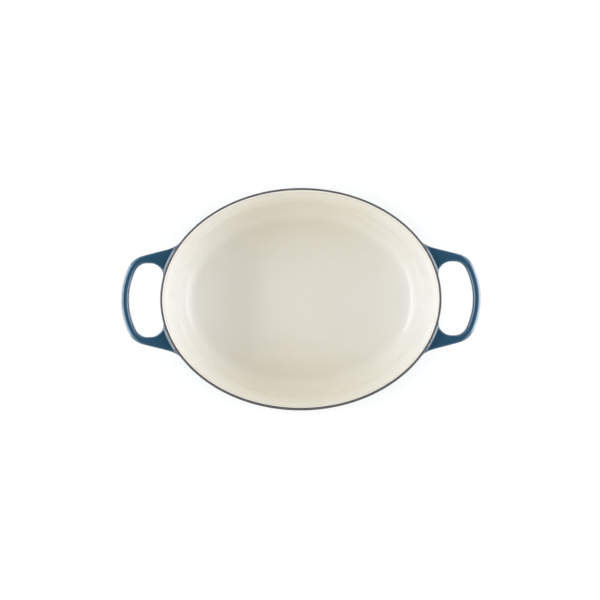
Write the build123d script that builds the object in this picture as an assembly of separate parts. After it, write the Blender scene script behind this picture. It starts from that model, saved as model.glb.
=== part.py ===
"""The open pot of an oval enamelled dutch oven: one iron casting with two loop handles, under fused enamel.

Millimetres, +Z up, +X along the pot's length. The origin is the centre of the base, on the surface it stands on.
"""

import math
import os

from build123d import *

# The pot, measured over its enamel
rim_length = 310.0
rim_width = 245.0
pot_height = 124.0
wall = 3.8
floor = 5.0
draft = 3.0  # degrees that the wall leans outwards, from base to rim
base_corner = 29.0  # outside, from wall to base
cavity_corner = 25.0  # inside, from wall to floor
lip_radius = 1.1  # rounding on both edges of the rim
foot_width = 9.0  # the ring that the pot stands on
foot_height = 0.8

# The enamel
coat = 0.4
rim_band = 2.2  # width of the dark band on top of the rim
rim_skirt = 1.8  # how far the dark band comes down outside
base_lap = 3.0  # how far the base's coat laps out past the flat that the pot stands on

# The loop handles
handle_span = 400.0  # over both grips
handle_top = 115.0
root_thickness = 11.5  # height of the handle at the wall
grip_thickness = 15.0  # height of the handle at the grip
grip_width = 8.8
grip_arc = 84.5  # radius of the grip's outer side, seen from above
flank_slope = 14.2  # degrees that each flank runs in, towards the grip
flank_half_width = 52.5  # over the flanks, at flank_x
flank_x = 162.3
flare_tip = 134.0  # X where each flare ends, a millimetre proud of the wall
shoulder_radius = 25.0  # from flank to grip
flare_radius = 50.0  # from flank to wall
loop_half_length = 40.8  # half the finger opening, along Y
loop_corner = 14.8
edge_radius = 3.4  # rounding along the handle's edges

lean = math.tan(math.radians(draft))
slant = 1 / math.cos(math.radians(draft))
clear = 10.0  # how far a cutting shape stands past what it cuts


def oval(inset, height=0.0):
    """The rim's oval, moved inwards by inset, at a height."""
    return Pos(0, 0, height) * Ellipse(rim_length / 2 - inset, rim_width / 2 - inset)


def wall_inset(height):
    """How far the outside of the wall stands in from the rim's outline, at a height."""
    return (pot_height - height) * lean


# How far the flat of the base stands in from the rim's outline
base_edge = wall_inset(0) + base_corner * math.tan(math.radians(45 - draft / 2))


def bowl_form(inset, bottom, corner, top=pot_height):
    """A solid of the bowl's outer shape, moved inwards by inset, with a rounded foot at bottom."""
    ends = [oval(wall_inset(z) + inset * slant, z) for z in (bottom, top)]
    return fillet(loft(ends, ruled=True).edges().group_by(Axis.Z)[0], corner)


def foot_hollow(inset):
    """The shallow oval hollow in the underside, within the foot ring."""
    hollow = extrude(oval(base_edge + foot_width - inset), amount=foot_height + inset)
    return fillet(hollow.edges().group_by(Axis.Z)[-1], foot_height / 2)


def bowl(inset):
    """The bowl with every surface moved into its material by inset: 0 is over the enamel, coat is the iron."""
    outside = bowl_form(inset, inset, base_corner - inset, pot_height - inset)
    inside = bowl_form(wall - inset, floor - inset, cavity_corner + inset, pot_height + clear)
    body = outside - inside
    body = fillet(body.edges().group_by(Axis.Z)[-1], lip_radius - inset)
    return body - foot_hollow(inset)


def handle_outline(inset):
    """The loop handle from above, on an oval that lies within the wall."""
    root = oval(wall_inset(handle_top - grip_thickness) + coat + inset)
    grip_centre = handle_span / 2 - grip_arc
    slope = math.tan(math.radians(flank_slope))
    half = flank_half_width - inset / math.cos(math.radians(flank_slope))
    near, far = half + flank_x * slope, half + (flank_x - handle_span) * slope
    flanks = Polygon((0, -near), (handle_span, -far), (handle_span, far), (0, near), align=None)
    blade = flanks & Pos(grip_centre, 0) * Circle(grip_arc - inset)
    blade = fillet(blade.vertices().sort_by(Axis.X)[-2:], shoulder_radius - inset)
    outline = blade + root
    notches = [v for v in outline.vertices() if 0 < v.X < flank_x - shoulder_radius / 2]
    outline = fillet(notches, flare_radius + inset)

    ends = Rectangle(2 * handle_span, 2 * (loop_half_length + inset))
    opening = Pos(grip_centre, 0) * Circle(grip_arc - grip_width + inset) & ends
    opening = Sketch() + (opening - root).faces().sort_by(Axis.X)[-1]
    corners = [v for v in opening.vertices() if abs(v.Y) > loop_half_length / 2]
    return outline - fillet(corners, loop_corner + inset)


def handle_form(inset):
    """The handle at +X, still running into the wall, with every surface moved into its material by inset."""
    top = handle_top - inset
    wall_x, grip_x = rim_length / 2, handle_span / 2
    fall = (grip_thickness - root_thickness) / (grip_x - wall_x)
    under_wall = handle_top - root_thickness + inset
    ends = (grip_x + clear, flare_tip + inset)
    under = [(x, under_wall - (x - wall_x) * fall) for x in ends]
    side = Polygon((ends[1], top), (ends[0], top), *under, align=None)
    slab = extrude(Plane.XZ * side, amount=rim_width, both=True)
    body = extrude(handle_outline(inset), amount=pot_height) & slab
    level = [e for e in body.edges() if abs(e.tangent_at(0.5).Z) < 0.9 and e.center().X > flare_tip + 1]
    return fillet(level, edge_radius - inset)


# The iron casting
iron_bowl = bowl(coat)
iron_form = bowl_form(coat, coat, base_corner - coat, pot_height - coat)
right_core = handle_form(coat)
right_iron = right_core - iron_form

# The enamel over the handles
right_coat = handle_form(0) - bowl_form(0, 0, base_corner) - right_core

# The enamel over the bowl, parted into its four zones
shell = bowl(0) - iron_bowl
band_inside = bowl_form(rim_band, floor / 2, cavity_corner, pot_height + clear)
band_under = Pos(0, 0, pot_height - rim_skirt) * extrude(oval(-clear), amount=clear)
under_base = extrude(oval(base_edge - base_lap, floor / 2), amount=-clear)
inner_coat = shell & band_inside
rim_coat = (shell & band_under) - band_inside
base_coat = shell & under_base
outer_coat = shell - band_inside - band_under - under_base - right_core - mirror(right_core, Plane.YZ)

parts = {
    "iron_bowl": iron_bowl,
    "iron_handle_left": mirror(right_iron, Plane.YZ),
    "iron_handle_right": right_iron,
    "outer_enamel": outer_coat,
    "base_enamel": base_coat,
    "rim_enamel": rim_coat,
    "inner_enamel": inner_coat,
    "handle_enamel_left": mirror(right_coat, Plane.YZ),
    "handle_enamel_right": right_coat,
}

os.makedirs("parts", exist_ok=True)
for name, part in parts.items():
    export_step(part, f"parts/{name}.step")
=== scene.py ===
"""The looks of an oval enamelled cast iron pot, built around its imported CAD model.

The teal skin and its handles, the sand coat inside, the dark band on the rim and the base are each
a closed mesh in the CAD's frame. Lengths are in millimetres until mesh_object() writes them in
metres. A section is a list of rows, each a place (its inset from the rim's outline and its height)
and a normal, and a piece is a section swept round the pot's oval.
"""
import math

import bpy
import numpy as np
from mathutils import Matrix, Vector


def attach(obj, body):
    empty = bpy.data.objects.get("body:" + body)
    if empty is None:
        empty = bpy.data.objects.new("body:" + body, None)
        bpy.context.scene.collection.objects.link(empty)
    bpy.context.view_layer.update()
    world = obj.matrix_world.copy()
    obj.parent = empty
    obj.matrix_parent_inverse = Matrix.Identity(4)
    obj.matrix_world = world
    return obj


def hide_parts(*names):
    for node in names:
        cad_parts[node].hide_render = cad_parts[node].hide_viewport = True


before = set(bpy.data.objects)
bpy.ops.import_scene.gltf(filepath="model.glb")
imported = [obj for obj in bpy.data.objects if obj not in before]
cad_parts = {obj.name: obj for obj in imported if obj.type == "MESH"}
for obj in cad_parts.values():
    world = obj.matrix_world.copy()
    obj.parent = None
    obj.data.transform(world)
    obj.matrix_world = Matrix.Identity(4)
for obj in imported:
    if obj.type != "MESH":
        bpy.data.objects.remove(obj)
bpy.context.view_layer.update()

MM = 0.001

# The pot over its enamel, as the CAD has it
HALF_LENGTH, HALF_WIDTH, HEIGHT = 155.0, 122.5, 124.0
WALL, FLOOR = 3.8, 5.0
DRAFT = math.radians(3.0)
BASE_CORNER, CAVITY_CORNER = 29.0, 25.0
LIP = 1.1
FOOT_WIDTH, FOOT_HEIGHT = 9.0, 0.8
COAT = 0.4
RIM_SKIRT = 1.8

# The handles
HANDLE_X, HANDLE_TOP = 200.0, 115.0
ROOT_THICKNESS, GRIP_THICKNESS, GRIP_WIDTH = 11.5, 15.0, 9.1
GRIP_ARC = 84.5
FLANK_SLOPE, FLANK_HALF, FLANK_X = math.radians(14.2), 52.5, 162.3
SHOULDER, FLARE = 25.0, 50.0
LOOP_HALF, LOOP_CORNER, LOOP_TOP = 40.8, 14.8, 3.2
# The radii of its edges: outside and inside the grip, and along the flanks. They change between these x
EDGE_OUTER, EDGE_INNER, EDGE_ROOT = 4.2, 3.2, 1.5
EDGE_FROM, EDGE_TO = 166.0, 188.0
# The cast fillet where the handle meets the wall fades out towards the flare's foot and behind the opening
CAST_FILLET = 3.8
FILLET_BEFORE_FOOT, FILLET_AFTER_FOOT = 14.0, 6.0
FILLET_FROM_Y, FILLET_TO_Y = 17.0, 29.0

SIN_D, COS_D, TAN_D = math.sin(DRAFT), math.cos(DRAFT), math.tan(DRAFT)


# ---------------------------------------------------------------- shapes as distance fields

TINY = 1e-12  # keeps a division from failing
DEEPEST = HALF_WIDTH * 0.6  # insets stop here, well inside the pot


def rim_inset(x, y):
    """How far a point lies inside the rim's outline, seen from above.

    The oval through the point has the rim's half axes less this. It is found by Newton's method.
    """
    inset = np.minimum((1 - np.hypot(x / HALF_LENGTH, y / HALF_WIDTH)) * HALF_WIDTH, DEEPEST)
    for _ in range(6):
        a, b = HALF_LENGTH - inset, HALF_WIDTH - inset
        u, v = x / a, y / b
        r = np.sqrt(u * u + v * v) + TINY
        inset = np.minimum(inset - (r - 1) * r / (u * u / a + v * v / b + TINY), DEEPEST)
    return inset


def oval_point(t, outset):
    """The point that lies outset outside the root oval, square to it, at parameter t."""
    a, b = HALF_LENGTH - ROOT_INSET, HALF_WIDTH - ROOT_INSET
    nx, ny = math.cos(t) / a, math.sin(t) / b
    n = math.hypot(nx, ny)
    return a * math.cos(t) + outset * nx / n, b * math.sin(t) + outset * ny / n


def solve(function, low, high):
    """The root of a function that changes sign between low and high."""
    rising = function(high) > 0
    for _ in range(60):
        middle = (low + high) / 2
        if (function(middle) > 0) == rising:
            high = middle
        else:
            low = middle
    return (low + high) / 2


ROOT_INSET = (HEIGHT - HANDLE_TOP + GRIP_THICKNESS) * TAN_D + COAT
GRIP_CENTRE = HANDLE_X - GRIP_ARC
FLANK_NORMAL = (math.sin(FLANK_SLOPE), math.cos(FLANK_SLOPE))
FLANK_REACH = FLANK_X * FLANK_NORMAL[0] + FLANK_HALF * FLANK_NORMAL[1]


def flank_distance(x, y):
    """Distance outside the handle's straight flank."""
    return x * FLANK_NORMAL[0] + y * FLANK_NORMAL[1] - FLANK_REACH


def ease(value, start, end):
    """0 before start, 1 after end, and smooth between them."""
    q = np.clip((value - start) / (end - start), 0, 1)
    return q * q * (3 - 2 * q)


def within(px, py, centre, first, second):
    """Which points lie in the wedge at centre between two directions, the first clockwise of the second."""
    vx, vy = px - centre[0], py - centre[1]
    return (first[0] * vy - first[1] * vx >= 0) & (vx * second[1] - vy * second[0] >= 0)


def from_centre(px, py, centre):
    return np.hypot(px - centre[0], py - centre[1])


def unit(x, y):
    n = math.hypot(x, y)
    return x / n, y / n


def shoulder_y(x):
    """The y at x of a line that lies SHOULDER inside the flank."""
    return (FLANK_REACH - SHOULDER - x * FLANK_NORMAL[0]) / FLANK_NORMAL[1]


def shoulder_gap(x):
    """How far that line's point at x lies outside an arc SHOULDER inside the grip's."""
    return math.hypot(x - GRIP_CENTRE, shoulder_y(x)) - (GRIP_ARC - SHOULDER)


def flare_gap(t):
    """How much further than FLARE from the flank a point at t lies, FLARE outside the oval."""
    return flank_distance(*oval_point(t, FLARE)) - FLARE


# The centres of the outline's corner arcs, in the quarter where x and y are positive
shoulder_x = solve(shoulder_gap, GRIP_CENTRE, HANDLE_X)
SHOULDER_AT = (shoulder_x, shoulder_y(shoulder_x))
flare_t = solve(flare_gap, 0, math.pi / 2)
FLARE_AT, FLARE_FOOT = oval_point(flare_t, FLARE), oval_point(flare_t, 0)
loop_y = LOOP_HALF - LOOP_CORNER
loop_reach = GRIP_ARC - GRIP_WIDTH - LOOP_CORNER
LOOP_OUTER_AT = (GRIP_CENTRE + math.sqrt(loop_reach ** 2 - loop_y ** 2), loop_y)
LOOP_INNER_AT = (LOOP_OUTER_AT[0] - LOOP_TOP, loop_y)
FLARE_REACH = FLARE * 1.3  # the flare's wedge ends this far from its centre, inside the handle


def handle_plan(x, y):
    """Distance outside the handle's outline, seen from above. It takes in an oval inside the wall."""
    x, y = np.abs(x), np.abs(y)
    oval = ROOT_INSET - rim_inset(x, y)
    arc = np.hypot(x - GRIP_CENTRE, y) - GRIP_ARC
    blade = np.maximum(flank_distance(x, y), arc)
    along_arc = unit(SHOULDER_AT[0] - GRIP_CENTRE, SHOULDER_AT[1])
    corner = within(x, y, SHOULDER_AT, along_arc, FLANK_NORMAL)
    blade = np.where(corner, from_centre(x, y, SHOULDER_AT) - SHOULDER, blade)
    outline = np.minimum(blade, oval)
    to_oval = unit(FLARE_FOOT[0] - FLARE_AT[0], FLARE_FOOT[1] - FLARE_AT[1])
    to_flank = (-FLANK_NORMAL[0], -FLANK_NORMAL[1])
    from_flare = from_centre(x, y, FLARE_AT)
    notch = within(x, y, FLARE_AT, to_oval, to_flank) & (from_flare < FLARE_REACH)
    outline = np.where(notch, FLARE - from_flare, outline)

    loop = np.maximum(np.maximum(arc + GRIP_WIDTH, y - LOOP_HALF), LOOP_INNER_AT[0] - LOOP_CORNER - x)
    loop = np.maximum(loop, -oval)
    along_arc = unit(LOOP_OUTER_AT[0] - GRIP_CENTRE, LOOP_OUTER_AT[1])
    corner = within(x, y, LOOP_OUTER_AT, along_arc, (0, 1))
    loop = np.where(corner, from_centre(x, y, LOOP_OUTER_AT) - LOOP_CORNER, loop)
    corner = within(x, y, LOOP_INNER_AT, (0, 1), (-1, 0))
    loop = np.where(corner, from_centre(x, y, LOOP_INNER_AT) - LOOP_CORNER, loop)
    return np.maximum(outline, -loop)


def handle_field(x, y, z):
    """Distance outside the handle: its outline from above, between a flat top and a falling underside."""
    fall = (GRIP_THICKNESS - ROOT_THICKNESS) / (HANDLE_X - HALF_LENGTH)
    under = HANDLE_TOP - ROOT_THICKNESS - (np.abs(x) - HALF_LENGTH) * fall
    level = np.maximum(z - HANDLE_TOP, (under - z) / math.hypot(1, fall))
    plan = handle_plan(x, y)
    across = np.hypot(np.abs(x) - GRIP_CENTRE, y) - (GRIP_ARC - GRIP_WIDTH)
    grip = EDGE_INNER + (EDGE_OUTER - EDGE_INNER) * ease(across, EDGE_INNER, GRIP_WIDTH - EDGE_OUTER)
    edge = EDGE_ROOT + (grip - EDGE_ROOT) * ease(np.abs(x), EDGE_FROM, EDGE_TO)
    a, b = plan + edge, level + edge
    return np.minimum(np.maximum(a, b), 0) + np.hypot(np.maximum(a, 0), np.maximum(b, 0)) - edge


def skin_field(x, y, z):
    """Distance outside the wall and its handles, with a cast fillet where they meet."""
    wall = -(rim_inset(x, y) * COS_D + (z - HEIGHT) * SIN_D)
    handle = handle_field(x, y, z)
    past_foot = ease(np.abs(x), FLARE_FOOT[0] - FILLET_BEFORE_FOOT, FLARE_FOOT[0] + FILLET_AFTER_FOOT)
    fillet = CAST_FILLET * past_foot * ease(np.abs(y), FILLET_FROM_Y, FILLET_TO_Y)
    near = np.hypot(np.maximum(fillet - wall, 0), np.maximum(fillet - handle, 0))
    return np.maximum(fillet, np.minimum(wall, handle)) - near


def gradient(field, p, step=0.02):
    """The field's slope at the points p, by central differences."""
    g = np.empty_like(p)
    for k in range(3):
        d = np.zeros(3)
        d[k] = step
        g[:, k] = (field(*(p + d).T) - field(*(p - d).T)) / (2 * step)
    return g


LEAST_SLOPE = 0.05  # of a field, squared: it limits the steps where the field is nearly level


def settle(field, p, flat=None, times=4):
    """Moves points onto the field's surface. Points named in flat keep their height."""
    for _ in range(times):
        g = gradient(field, p)
        if flat is not None:
            g[flat, 2] = 0
        steepness = np.maximum((g * g).sum(1), LEAST_SLOPE)
        p = p - g * (field(*p.T) / steepness)[:, None]
    return p


# ---------------------------------------------------------------- meshes

def net(field, xs, ys, zs):
    """The field's surface as quads, one vertex in each cell of the grid that it passes through."""
    grid = np.stack(np.meshgrid(xs, ys, zs, indexing="ij"), -1)
    f = field(grid[..., 0], grid[..., 1], grid[..., 2])
    cells = tuple(n - 1 for n in f.shape)
    total, count = np.zeros((*cells, 3)), np.zeros(cells)
    lows = [slice(0, -1), slice(1, None)]
    edges = []
    for k in range(3):
        one, two = [slice(None)] * 3, [slice(None)] * 3
        one[k], two[k] = lows
        a, b = f[tuple(one)], f[tuple(two)]
        cross = (a < 0) != (b < 0)
        share = np.where(cross, a / np.where(cross, a - b, 1), 0)[..., None]
        point = grid[tuple(one)] * (1 - share) + grid[tuple(two)] * share
        i, j = [m for m in range(3) if m != k]
        for di in (0, 1):
            for dj in (0, 1):
                part = [slice(None)] * 3
                part[i], part[j] = lows[di], lows[dj]
                total += (point * cross[..., None])[tuple(part)]
                count += cross[tuple(part)]
        edges.append((k, cross, a < 0))
    active = count > 0
    number = np.full(cells, -1)
    number[active] = np.arange(active.sum())
    points = total[active] / count[active][:, None]
    quads = []
    for k, cross, inside in edges:
        i, j = (k + 1) % 3, (k + 2) % 3
        inner = [slice(None)] * 3
        inner[i] = inner[j] = slice(1, -1)
        at = np.argwhere(cross[tuple(inner)])
        at[:, i] += 1
        at[:, j] += 1
        corner = []
        for di, dj in ((1, 1), (0, 1), (0, 0), (1, 0)):
            c = at.copy()
            c[:, i] -= di
            c[:, j] -= dj
            corner.append(number[tuple(c.T)])
        q = np.stack(corner, 1)
        outward = inside[tuple(at.T)]
        quads.append(np.where(outward[:, None], q, q[:, ::-1]))
    return points, np.concatenate(quads)


def open_edges(faces):
    """The edges, in their face's direction, that only one face uses."""
    e = np.stack([faces, np.roll(faces, -1, 1)], -1).reshape(-1, 2)
    key = np.sort(e, 1)
    _, back, uses = np.unique(key, axis=0, return_inverse=True, return_counts=True)
    return e[uses[back.ravel()] == 1]


def relax(field, points, quads, flat, times=6):
    """Evens out the quads by moving each point halfway to its neighbours' mean, along the surface.

    Points named in flat, the open loops, keep their heights and follow only each other.
    """
    e = np.stack([quads, np.roll(quads, -1, 1)], -1).reshape(-1, 2)
    e = np.unique(np.sort(e, 1), axis=0)
    on_loop = np.zeros(len(points), bool)
    on_loop[flat] = True
    keep = ~(on_loop[e[:, 0]] ^ on_loop[e[:, 1]])
    for _ in range(times):
        total, count = np.zeros_like(points), np.zeros(len(points))
        for a, b in ((0, 1), (1, 0)):
            use = keep | ~on_loop[e[:, a]]
            np.add.at(total, e[use, a], points[e[use, b]])
            np.add.at(count, e[use, a], 1)
        moved = (points + total / count[:, None]) / 2
        moved[flat, 2] = points[flat, 2]
        points = settle(field, moved, flat, 2)
    return points


def line(start, end, steps):
    """A straight run of a section, from place to place."""
    tx, tz = unit(end[0] - start[0], end[1] - start[1])
    q = np.linspace(0, 1, steps)
    return [(start[0] * (1 - k) + end[0] * k, start[1] * (1 - k) + end[1] * k, -tz, tx) for k in q]


def arc(centre, radius, start, end, steps):
    """A round run of a section. Angles are in degrees, from straight inwards towards up.

    It is convex if its angle falls, and hollow if it rises.
    """
    side = 1 if end < start else -1
    rows = []
    for q in np.radians(np.linspace(start, end, steps)):
        c, s = math.cos(q), math.sin(q)
        rows.append((centre[0] + radius * c, centre[1] + radius * s, side * c, side * s))
    return rows


def centre_rings(inset, z, up, shares):
    """Rows over a flat middle: the oval at inset, scaled about the centre by each of shares.

    up is 1 where the surface faces up, and -1 where it faces down.
    """
    return [(inset, z, 0.0, up, share) for share in shares]


def place_of(row):
    """A row's inset and height, and the scale of its oval about the centre."""
    return (*row[:2], row[4] if len(row) > 4 else 1.0)


def same_place(row, other):
    return all(np.allclose(a, b) for a, b in zip(place_of(row), place_of(other)))


def joined(*runs):
    """Runs end to end as one section. Where a run starts at the last one's end, that row is left out."""
    rows = []
    for run in runs:
        rows += run[1:] if rows and same_place(rows[-1], run[0]) else run
    return rows


def rings(section, t):
    """The points and normals of a section's rows over the ovals, at the parameters t."""
    points, normals = [], []
    for row in section:
        inset, z, share = place_of(row)
        n_in, n_up = row[2:4]
        a, b = HALF_LENGTH - inset, HALF_WIDTH - inset
        ex, ey = np.cos(t) / a, np.sin(t) / b
        e = np.hypot(ex, ey)
        points.append(np.stack([a * share * np.cos(t), b * share * np.sin(t), z + 0 * t], 1))
        normals.append(np.stack([-n_in * ex / e, -n_in * ey / e, n_up + 0 * t], 1))
    return np.concatenate(points), np.concatenate(normals)


def ring_quads(count, n, first=0, closed=False):
    """Quads between rings of n points each. They face out where the section runs up the outside."""
    i = np.arange(n)
    quads = []
    for k in range(count if closed else count - 1):
        a, b = first + k * n, first + (k + 1) % count * n
        quads.append(np.stack([a + i, a + (i + 1) % n, b + (i + 1) % n, b + i], 1))
    return np.concatenate(quads)


def mesh_object(name, points, faces, normals, attributes=()):
    """A smooth object, with its own normals. Attributes are pairs of a name and a value for each point."""
    mesh = bpy.data.meshes.new(name)
    mesh.from_pydata((points * MM).tolist(), [], faces)
    mesh.polygons.foreach_set("use_smooth", np.ones(len(mesh.polygons), bool))
    for key, values in attributes:
        attribute = mesh.attributes.new(key, "FLOAT", "POINT")
        attribute.data.foreach_set("value", np.asarray(values, np.float32))
    mesh.update()
    mesh.normals_split_custom_set_from_vertices(normals.tolist())
    obj = bpy.data.objects.new(name, mesh)
    bpy.context.collection.objects.link(obj)
    return obj


def swept_object(name, section, t, closed=False):
    """A closed piece from a section over the ovals: a ring if closed, or else capped at both ends."""
    points, normals = rings(section, t)
    n = len(t)
    faces = ring_quads(len(section), n, closed=closed).tolist()
    if not closed:
        last = (len(section) - 1) * n
        faces += [list(range(n))[::-1], list(range(last, last + n))]
    return mesh_object(name, points, faces, normals)


# ---------------------------------------------------------------- the teal skin

# The skin is meshed from the field between these levels, and is plain rings below them
BAND_LOW = 92.0
HALF_COAT = COAT / 2
BAND_HIGH = HEIGHT - RIM_SKIRT - HALF_COAT
BAND_LEVELS = 26
# The grid's cells are small where the handles are, past one x and within one y
HANDLES_FROM_X, HANDLES_TO_Y = 116.0, 78.0
CELL, CELL_PLAIN_X, CELL_PLAIN_Y = 1.2, 2.6, 2.4
GRID_X, GRID_Y = 203.5, 125.5  # where it ends, past the handles and the wall


def grid_lines(*spans):
    """Grid positions from 0 outwards and their mirror image. Each span is its start, end and spacing."""
    half = np.unique(np.concatenate([np.linspace(a, b, round((b - a) / d) + 1) for a, b, d in spans]))
    return np.concatenate([-half[:0:-1], half])


points, quads = net(
    skin_field,
    grid_lines((0, HANDLES_FROM_X, CELL_PLAIN_X), (HANDLES_FROM_X, GRID_X, CELL)),
    grid_lines((0, HANDLES_TO_Y, CELL), (HANDLES_TO_Y, GRID_Y, CELL_PLAIN_Y)),
    np.linspace(BAND_LOW, BAND_HIGH, BAND_LEVELS),
)
loose = np.unique(open_edges(quads))
middle = (BAND_LOW + BAND_HIGH) / 2
low, high = loose[points[loose, 2] < middle], loose[points[loose, 2] > middle]
points[low, 2], points[high, 2] = BAND_LOW, BAND_HIGH
points = settle(skin_field, points, loose)
points = relax(skin_field, points, quads, loose)


def oval_parameter(p):
    """Where each point of the wall lies round its oval, as the ellipse's parameter."""
    inset = (HEIGHT - p[:, 2]) * TAN_D
    return np.arctan2(p[:, 1] / (HALF_WIDTH - inset), p[:, 0] / (HALF_LENGTH - inset))


low = low[np.argsort(oval_parameter(points[low]))]
high = high[np.argsort(oval_parameter(points[high]))]
t_low = oval_parameter(points[low])
normals = gradient(skin_field, points)
normals /= np.linalg.norm(normals, axis=1)[:, None]

# Below the field's band: rings round the base corner and up the wall, stitched to the lower loop
base_corner_at = ((BASE_CORNER + (HEIGHT - BASE_CORNER) * SIN_D) / COS_D, BASE_CORNER)
base_arc = arc(base_corner_at, BASE_CORNER, 270, 180 + math.degrees(DRAFT), 15)
wall_run = line(base_arc[-1][:2], ((HEIGHT - BAND_LOW) * TAN_D, BAND_LOW), 13)
lower = joined(base_arc, wall_run)[:-1]
lower_points, lower_normals = rings(lower, t_low)
n, field_count = len(t_low), len(points)
lower_quads = ring_quads(len(lower), n, field_count)
last_ring = field_count + (len(lower) - 1) * n
i = np.arange(n)
following = (i + 1) % n
stitch = np.stack([last_ring + i, last_ring + following, low[following], low], 1)
points, normals = np.concatenate([points, lower_points]), np.concatenate([normals, lower_normals])
quads = np.concatenate([quads, lower_quads, stitch])


MOST_BEND = 0.5


def bend_of(p, reach=0.6):
    """How sharply the skin bends at each point, in 1/mm: over 0 on an edge, under 0 in a hollow.

    The field's six values at reach from a point are compared with its value there.
    """
    total = -6 * skin_field(*p.T)
    for k in range(3):
        d = np.zeros(3)
        d[k] = reach
        total = total + skin_field(*(p + d).T) + skin_field(*(p - d).T)
    return np.clip(total / reach ** 2, -MOST_BEND, MOST_BEND)


def coat_shell(name, points, normals, quads, top, field_count):
    """The skin as a closed coat, with a half round edge along the loop named in top.

    Its first field_count points come from the field, and get their bend as an attribute.
    """
    count, m = len(points), len(top)
    under = points - normals * COAT
    edges = open_edges(quads)
    edges = edges[~np.isin(edges[:, 0], top)]
    walls = np.stack([edges[:, 1], edges[:, 0], edges[:, 0] + count, edges[:, 1] + count], 1)
    cap, cap_normals, loops = [], [], [top]
    for q in np.radians([45, 90, 135]):
        loops.append(2 * count + len(cap) * m + np.arange(m))
        middle, half = (points[top] + under[top]) / 2, (points[top] - under[top]) / 2
        cap.append(middle + half * math.cos(q) + np.array([0, 0, HALF_COAT * math.sin(q)]))
        cap_normals.append(normals[top] * math.cos(q) + np.array([0, 0, math.sin(q)]))
    loops.append(top + count)
    j = np.arange(m)
    rim = [np.stack([a[j], a[(j + 1) % m], b[(j + 1) % m], b[j]], 1) for a, b in zip(loops, loops[1:])]
    every = np.concatenate([points, under, *cap])
    bend = np.zeros(len(every))
    bend[:field_count] = bend_of(points[:field_count])
    faces = np.concatenate([quads, quads[:, ::-1] + count, walls, *rim]).tolist()
    every_normal = np.concatenate([normals, -normals, *cap_normals])
    return mesh_object(name, every, faces, every_normal, [("bend", bend)])


skin = coat_shell("teal_skin", points, normals, quads, high, field_count)

# ---------------------------------------------------------------- the base

TO_EDGE = (0.02, 0.15, 0.35, 0.55, 0.75, 0.9, 0.98)  # the rings over a flat middle, as shares of its oval
FOOT_ROUND = 0.4
BASE_LAP = 2.0  # how far the base's upper face starts inside the foot
base_edge = base_arc[0][0]
foot_inner = base_edge + FOOT_WIDTH
upper_z = FOOT_HEIGHT + COAT
base_section = joined(
    centre_rings(foot_inner + FOOT_ROUND, FOOT_HEIGHT, -1, (*TO_EDGE, 1)),
    arc((foot_inner + FOOT_ROUND, FOOT_HEIGHT - FOOT_ROUND), FOOT_ROUND, 90, 180, 6),
    arc((foot_inner - FOOT_ROUND, FOOT_ROUND), FOOT_ROUND, 0, -90, 6),
    line((foot_inner - FOOT_ROUND, 0), (base_edge, 0), 5),
    line((base_edge, 0), (base_edge, COAT), 2),
    line((base_edge, COAT), (foot_inner - COAT, COAT), 4),
    line((foot_inner - COAT, COAT), (foot_inner - COAT, upper_z), 2),
    line((foot_inner - COAT, upper_z), (foot_inner + BASE_LAP, upper_z), 2),
    centre_rings(foot_inner + BASE_LAP, upper_z, 1, TO_EDGE[::-1]),
)
# Its edge meets the skin's lowest ring point for point
base = swept_object("teal_base", base_section, t_low)

# ---------------------------------------------------------------- the sand coat

AROUND = 640
around = np.linspace(-math.pi, math.pi, AROUND, endpoint=False)
LIP_INSIDE = 1.5  # the round edge between the sand coat's wall and the rim
LIP_START = WALL - LIP_INSIDE
# Under the rim's band the coat's hidden edge is a step, this far outside LIP_START, between two depths
# below the rim
STEP, STEP_LOW, STEP_HIGH = 0.5, 0.6, 0.05
BACK_DEPTH = 1.2  # the coat's back follows the wall up to here below the rim


def corner_centre(radius, floor, wall_inset):
    """The centre of the corner arc between a floor and a wall whose face is wall_inset from the outside."""
    z = floor + radius
    return wall_inset / COS_D + (HEIGHT - z) * TAN_D + radius / COS_D, z


wall_angle = math.degrees(DRAFT) + 180
inside_at = corner_centre(CAVITY_CORNER, FLOOR, WALL)
inside_arc = arc(inside_at, CAVITY_CORNER, wall_angle, 270, 25)
back_at = corner_centre(CAVITY_CORNER + COAT, FLOOR - COAT, WALL - COAT)
back_arc = arc(back_at, CAVITY_CORNER + COAT, wall_angle, 270, 9)[::-1]
back_arc = [(inset, z, -n_in, -n_up) for inset, z, n_in, n_up in back_arc]
back_top = (WALL / COS_D - COAT + BACK_DEPTH * TAN_D, HEIGHT - BACK_DEPTH)
step_low, step_high = (LIP_START - STEP, HEIGHT - STEP_LOW), (LIP_START - STEP, HEIGHT - STEP_HIGH)
wall_top = (LIP_START + LIP_INSIDE * COS_D, HEIGHT - LIP_INSIDE * (1 + SIN_D))
sand_section = joined(
    centre_rings(back_at[0], FLOOR - COAT, -1, (*TO_EDGE, 1)),
    back_arc,
    line(back_arc[-1][:2], back_top, 4),
    line(back_top, step_low, 2),
    line(step_low, step_high, 2),
    line(step_high, (LIP_START, HEIGHT), 2),
    arc((LIP_START, HEIGHT - LIP_INSIDE), LIP_INSIDE, 90, -math.degrees(DRAFT), 11),
    line(wall_top, inside_arc[0][:2], 30),
    inside_arc,
    centre_rings(inside_at[0], FLOOR, 1, TO_EDGE[::-1]),
)
sand = swept_object("sand_lining", sand_section, around)

# ---------------------------------------------------------------- the band on the rim

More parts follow.
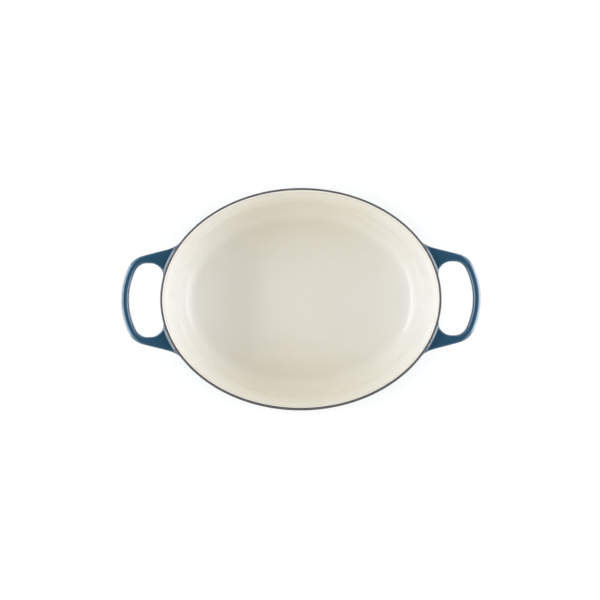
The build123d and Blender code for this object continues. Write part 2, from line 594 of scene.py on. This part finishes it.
RECESS = 0.04  # how far the dark band lies under the teal
FILM = 0.07  # how far it stands over the sand coat's edge
FILM_UNDER, FILM_ROOT = 0.15, 0.3  # how far its underside lies below that edge, at its end and at its start
SKIRT_LAP = 0.4  # how far its skirt reaches down behind the teal
SKIRT_INSET = 0.45  # the skirt's inner face
SHELF_INSET, SHELF_DEPTH = 0.3, 0.35  # where its underside turns down, inwards of the lip and below the rim
lip_z = HEIGHT - LIP
skirt_z = HEIGHT - RIM_SKIRT - SKIRT_LAP
# The band's inner edge was wiped by hand: it wanders over the sand coat's round edge, this far in from
# where that starts. It stays between two shares of the edge's radius
wander = 0.27 - 0.32 * np.sin(around) - 0.15 * np.cos(2 * around) + 0.03 * np.sin(7 * around + 1)
LEAST_SHARE, MOST_SHARE = 0.02, 0.85
turn = np.arcsin(np.clip(wander / (LIP_INSIDE + FILM), LEAST_SHARE, MOST_SHARE))


def film(share, over):
    """A row of the band that follows the sand coat's edge, at this share of its way to its end.

    It stands over the edge, or under it where over is negative.
    """
    q = turn * share
    reach = LIP_INSIDE + over
    return LIP_START + reach * np.sin(q), HEIGHT - LIP_INSIDE + reach * np.cos(q), np.sin(q), np.cos(q)


# The lip's arc starts a hair outside the leaning skirt, so its first row is left out
band_section = joined(
    line((RECESS + (HEIGHT - skirt_z) * TAN_D, skirt_z), (RECESS + LIP * TAN_D, lip_z), 3),
    arc((LIP + RECESS, lip_z), LIP, 180, 90, 9)[1:],
    [film(share, FILM) for share in (0, 0.25, 0.5, 0.75, 1)],
    [film(1, -FILM_UNDER), film(0, -FILM_ROOT)],
    line((LIP + SHELF_INSET, HEIGHT - SHELF_DEPTH), (SKIRT_INSET, lip_z), 2),
    line((SKIRT_INSET, lip_z), (SKIRT_INSET + RIM_SKIRT * TAN_D, skirt_z), 2),
)
band = swept_object("rim_band", band_section, around, closed=True)

# ---------------------------------------------------------------- materials

# Linear red, green and blue
TEAL_THICK, TEAL_THIN, TEAL_WORN = (0.0150, 0.0590, 0.104), (0.0245, 0.081, 0.138), (0.05, 0.085, 0.115)
# The sand coat's two tones are painted light and shade: warm painted shade low on the long sides, pale
# painted light at the ends
SAND_SHADED_WARM, SAND_LIT_PALE = (0.853, 0.815, 0.693), (0.879, 0.863, 0.827)
SAND_THIN, SAND_FLECK = (0.62, 0.57, 0.49), (0.62, 0.57, 0.46)
BAND_DARK, BAND_GREY, BAND_PATCH = (0.07, 0.067, 0.069), (0.105, 0.1, 0.101), (0.12, 0.112, 0.108)
IRON_DARK, IRON_PALE = (0.07, 0.07, 0.072), (0.17, 0.165, 0.16)
NOISE_LOW, NOISE_HIGH = 0.3, 0.7  # most of a noise texture's values lie between these


class Paint:
    """A node material around one Principled shader, textured in the CAD's frame."""

    def __init__(self, name, **values):
        self.material = bpy.data.materials.new(name)
        self.material.use_nodes = True
        self.tree = self.material.node_tree
        self.shader = self.tree.nodes["Principled BSDF"]
        for key, value in values.items():
            self.shader.inputs[key.replace("_", " ")].default_value = value
        self.place = self.add("ShaderNodeTexCoord").outputs["Object"]

    def add(self, kind, **settings):
        node = self.tree.nodes.new(kind)
        for key, value in settings.items():
            setattr(node, key, value)
        return node

    def link(self, source, socket):
        self.tree.links.new(source, socket)

    def noise(self, size, detail=2.0, rough=0.5):
        """Noise with features of about size millimetres."""
        node = self.add("ShaderNodeTexNoise")
        node.inputs["Scale"].default_value = 1 / (size * MM)
        node.inputs["Detail"].default_value = detail
        node.inputs["Roughness"].default_value = rough
        self.link(self.place, node.inputs["Vector"])
        return node.outputs["Fac"]

    def spread(self, source, low, high, out_low=0.0, out_high=1.0):
        """source between low and high, spread over the range out_low to out_high."""
        node = self.add("ShaderNodeMapRange")
        node.inputs["From Min"].default_value = low
        node.inputs["From Max"].default_value = high
        node.inputs["To Min"].default_value = out_low
        node.inputs["To Max"].default_value = out_high
        self.link(source, node.inputs["Value"])
        return node.outputs["Result"]

    def math(self, operation, a, b):
        """a and b are each a number or the output of a node."""
        node = self.add("ShaderNodeMath", operation=operation)
        for socket, value in zip(node.inputs, (a, b)):
            if isinstance(value, (int, float)):
                socket.default_value = value
            else:
                self.link(value, socket)
        return node.outputs[0]

    def mix(self, share, one, two):
        """Two colours, each three numbers or the output of a node, mixed from one to two by share."""
        node = self.add("ShaderNodeMix", data_type="RGBA")
        self.link(share, node.inputs[0])
        for socket, colour in ((node.inputs[6], one), (node.inputs[7], two)):
            if isinstance(colour, tuple):
                socket.default_value = (*colour, 1)
            else:
                self.link(colour, socket)
        return node.outputs[2]

    def relief(self, *layers):
        """Bumps, each a texture and its height in millimetres, one over the other."""
        normal = None
        for source, height in layers:
            node = self.add("ShaderNodeBump")
            node.inputs["Strength"].default_value = 1.0
            node.inputs["Distance"].default_value = height * MM
            self.link(source, node.inputs["Height"])
            if normal is not None:
                self.link(normal, node.inputs["Normal"])
            normal = node.outputs["Normal"]
        self.link(normal, self.shader.inputs["Normal"])
        return self

    def colour(self, source):
        self.link(source, self.shader.inputs["Base Color"])

    def roughness(self, source):
        self.link(source, self.shader.inputs["Roughness"])


def teal_paint(name, worn_foot=False):
    """Teal enamel, paler where it is thin on sharp edges. The foot ring's face has worn specks."""
    paint = Paint(name, IOR=1.55, Coat_Weight=1.0, Coat_IOR=1.55, Coat_Roughness=0.03)
    bend = paint.add("ShaderNodeAttribute", attribute_name="bend").outputs["Fac"]
    drift = paint.noise(60)
    on_edges = paint.spread(bend, -0.15, 0.35, 0.0, 0.8)
    thin = paint.math("ADD", on_edges, paint.spread(drift, NOISE_LOW, NOISE_HIGH, 0.0, 0.2))
    tone = paint.mix(thin, TEAL_THICK, TEAL_THIN)
    rough = paint.spread(paint.noise(9), NOISE_LOW, NOISE_HIGH, 0.07, 0.13)
    if worn_foot:
        height = paint.add("ShaderNodeSeparateXYZ")
        paint.link(paint.place, height.inputs[0])
        foot = paint.spread(height.outputs["Z"], 0.02 * MM, 0.2 * MM, 1.0, 0.0)
        worn = paint.math("MULTIPLY", foot, paint.spread(paint.noise(3, 4.0), 0.42, 0.62, 0.1, 1.0))
        tone = paint.mix(worn, tone, TEAL_WORN)
        rough = paint.math("ADD", rough, paint.math("MULTIPLY", worn, 0.4))
    paint.colour(tone)
    paint.roughness(rough)
    return paint.relief((paint.noise(7, 1.0), 0.02), (paint.noise(1.6, 1.0), 0.003)).material


def sand_paint():
    """Sand enamel with painted shade, warm like bounced light, low along the long sides and painted light at
    the ends, thinner at the rim, with flecks.
    """
    paint = Paint("sand_enamel_gloss", IOR=1.5, Specular_IOR_Level=0.36)
    axes = paint.add("ShaderNodeSeparateXYZ")
    paint.link(paint.place, axes.inputs[0])
    along = paint.math("MULTIPLY", axes.outputs["X"], 1 / (HALF_LENGTH * MM))
    across = paint.math("MULTIPLY", axes.outputs["Y"], 1 / (HALF_WIDTH * MM))
    up = paint.math("MULTIPLY", axes.outputs["Z"], 1 / (HEIGHT * MM))
    fade = 1.5  # the sides' painted shade is gone at 1 / fade of the height, and above it they take the ends' painted light
    depth = paint.math("SUBTRACT", 1.0, paint.math("MULTIPLY", up, fade))
    # Painted shade low along the long sides, painted light towards the ends
    shaded_sides = paint.math("MULTIPLY", paint.math("MULTIPLY", across, across), depth)
    lit_towards_ends = paint.math("SUBTRACT", paint.math("MULTIPLY", along, along), shaded_sides)
    drift = paint.spread(paint.noise(45), NOISE_LOW, NOISE_HIGH, -0.12, 0.12)
    lit_share = paint.spread(paint.math("ADD", lit_towards_ends, drift), -0.5, 0.9)
    tone = paint.mix(lit_share, SAND_SHADED_WARM, SAND_LIT_PALE)
    thin = paint.spread(up, 0.87, 1.0, 0.0, 0.55)
    tone = paint.mix(thin, tone, SAND_THIN)
    fleck = paint.spread(paint.noise(0.9, 3.0), 0.66, 0.74, 0.0, 0.25)
    paint.colour(paint.mix(fleck, tone, SAND_FLECK))
    paint.roughness(paint.spread(paint.noise(11), NOISE_LOW, NOISE_HIGH, 0.055, 0.085))
    return paint.relief((paint.noise(10, 1.0), 0.03), (paint.noise(1.8, 1.0), 0.004)).material


def band_paint():
    """Matte dark enamel with a fine grain and greyer patches."""
    paint = Paint("rim_enamel_matte", IOR=1.45, Specular_IOR_Level=0.1)
    grain = paint.noise(0.5, 4.0, 0.7)
    tone = paint.mix(paint.spread(grain, 0.35, 0.65), BAND_DARK, BAND_GREY)
    patches = paint.spread(paint.noise(14, 3.0), 0.4, 0.7, 0.0, 0.5)
    paint.colour(paint.mix(patches, tone, BAND_PATCH))
    paint.roughness(paint.spread(grain, NOISE_LOW, NOISE_HIGH, 0.5, 0.7))
    return paint.relief((grain, 0.03)).material


def iron_paint():
    """Bare cast iron, which the enamel hides."""
    paint = Paint("cast_iron_rough", Metallic=1.0)
    grain = paint.noise(0.8, 5.0, 0.65)
    paint.colour(paint.mix(grain, IRON_DARK, IRON_PALE))
    paint.roughness(paint.spread(grain, NOISE_LOW, NOISE_HIGH, 0.55, 0.8))
    return paint.relief((grain, 0.06)).material


def cover(obj, material):
    obj.data.materials.clear()
    obj.data.materials.append(material)


cover(skin, teal_paint("teal_enamel_gloss"))
cover(base, teal_paint("teal_enamel_base", worn_foot=True))
cover(sand, sand_paint())
cover(band, band_paint())
iron = iron_paint()
for name in ("iron_bowl", "iron_handle_left", "iron_handle_right"):
    cover(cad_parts[name], iron)

for piece, slot, nodes in (
    (skin, "teal_enamel", ("outer_enamel", "handle_enamel_left", "handle_enamel_right")),
    (base, "teal_enamel", ("base_enamel",)),
    (sand, "sand_enamel", ("inner_enamel",)),
    (band, "rim_enamel", ("rim_enamel",)),
):
    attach(piece, "root")
    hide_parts(*nodes)

# ---------------------------------------------------------------- studio, in metres

scene = bpy.context.scene
scene.view_settings.view_transform = "Standard"

FLOOR_HALF = 30.0
WHITE = (1, 1, 1, 1)
floor_corners = [(x * FLOOR_HALF, y * FLOOR_HALF, 0) for x, y in ((-1, -1), (1, -1), (1, 1), (-1, 1))]
floor_mesh = bpy.data.meshes.new("studio_floor")
floor_mesh.from_pydata(floor_corners, [], [(0, 1, 2, 3)])
floor = bpy.data.objects.new("studio_floor", floor_mesh)
bpy.context.collection.objects.link(floor)
# Its own light evens it out to the white around it
floor_paint = Paint(
    "studio_white",
    Base_Color=(0.85, 0.83, 0.79, 1),
    Roughness=0.9,
    Emission_Color=WHITE,
    Emission_Strength=0.12,
)
cover(floor, floor_paint.material)

AIM = Vector((0, 0, 0.08))  # the lights face this point
LIGHT_COLOUR = (0.94, 0.98, 1.06)


def softbox(name, azimuth, elevation, width, height, radiance, distance=1.4):
    """A soft panel light that the camera doesn't see. Azimuth 0 is +X and 90 is +Y, in degrees."""
    light = bpy.data.lights.new(name, "AREA")
    light.shape, light.size, light.size_y = "RECTANGLE", width, height
    light.energy = radiance * math.pi * width * height
    light.color = LIGHT_COLOUR
    obj = bpy.data.objects.new(name, light)
    a, e = math.radians(azimuth), math.radians(elevation)
    away = Vector((math.cos(a) * math.cos(e), math.sin(a) * math.cos(e), math.sin(e)))
    obj.location = AIM + away * distance
    obj.rotation_euler = away.to_track_quat("Z", "Y").to_euler()
    obj.visible_camera = False
    bpy.context.collection.objects.link(obj)


# Each one's azimuth, elevation, width, height, radiance and, unless it is 1.4, distance
softbox("light_left", 180, 41, 1.3, 0.8, 1.8)
softbox("light_right", 0, 41, 1.3, 0.8, 1.35)
softbox("core_left", 180, 46.5, 1.1, 0.16, 4.6, 1.35)
softbox("core_right", 0, 23.5, 1.1, 0.15, 9.0, 1.35)
softbox("low_left", 180, 2.0, 0.7, 0.19, 7.0, 0.65)
softbox("low_right", 0, 2.0, 0.7, 0.19, 7.0, 0.65)

# The sky's brightness, from straight down at 0 over the horizon at 0.5 to straight up at 1. It is dark
# straight up, where the pot's flat floor mirrors it
SKY = ((0.0, 0.74), (0.5, 0.74), (0.6, 0.6), (0.8, 1.5), (0.93, 0.27), (0.98, 0.07), (1.0, 0.07))
world = bpy.data.worlds.new("studio")
world.use_nodes = True
scene.world = world
tree = world.node_tree
ramp = tree.nodes.new("ShaderNodeValToRGB")
while len(ramp.color_ramp.elements) < len(SKY):
    ramp.color_ramp.elements.new(0.5)
for element, (height, brightness) in zip(ramp.color_ramp.elements, SKY):
    element.position = height
    element.color = (brightness, brightness, brightness, 1)
split = tree.nodes.new("ShaderNodeSeparateXYZ")
share = tree.nodes.new("ShaderNodeMapRange")
share.inputs["From Min"].default_value = -1
tree.links.new(tree.nodes.new("ShaderNodeTexCoord").outputs["Generated"], split.inputs[0])
tree.links.new(split.outputs["Z"], share.inputs["Value"])
tree.links.new(share.outputs["Result"], ramp.inputs["Fac"])
tree.links.new(ramp.outputs["Color"], tree.nodes["Background"].inputs["Color"])

# The camera looks straight down on the pot, from a hair off its centre and turned by a hair
CAMERA_ABOVE_RIM, CAMERA_OFF, CAMERA_TURN = 1.5, (-0.00095, -0.00083), math.radians(-0.35)
FRAME_WIDTH = 0.66024  # what it takes in at the rim's level
camera = bpy.data.cameras.new("camera")
camera.sensor_width = 36.0
camera.lens = camera.sensor_width * CAMERA_ABOVE_RIM / FRAME_WIDTH
camera.clip_start, camera.clip_end = 0.05, 100.0
camera_object = bpy.data.objects.new("camera", camera)
camera_object.location = (*CAMERA_OFF, HEIGHT * MM + CAMERA_ABOVE_RIM)
camera_object.rotation_euler = (0, 0, CAMERA_TURN)
bpy.context.collection.objects.link(camera_object)
scene.camera = camera_object
